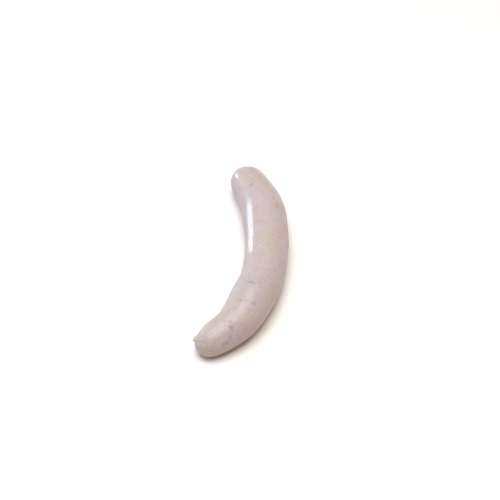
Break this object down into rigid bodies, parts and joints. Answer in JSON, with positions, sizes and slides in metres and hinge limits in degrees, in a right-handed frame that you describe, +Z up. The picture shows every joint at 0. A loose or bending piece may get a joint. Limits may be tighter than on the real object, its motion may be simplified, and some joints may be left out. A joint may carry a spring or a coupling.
{
  "type": "raw white sausage link",
  "caption": "Raw white sausage link in natural casing, gently curved and lying on its side, its domed ends drawn together in pleats to short twists of casing.",
  "frame": {"origin": "bottom centre of the link's bounding box, on the table that it rests on", "axes": "+Y along the link from its slimmer front end to its back end, +X to the outside of its curve, +Z up"},
  "size_m": [0.0614, 0.181, 0.0287],
  "materials": {
    "filled_casing": "moist and glossy, slightly translucent"
  },
  "bodies": {
    "root": {"sausage_link": "filled_casing"}
  },
  "joints": []
}
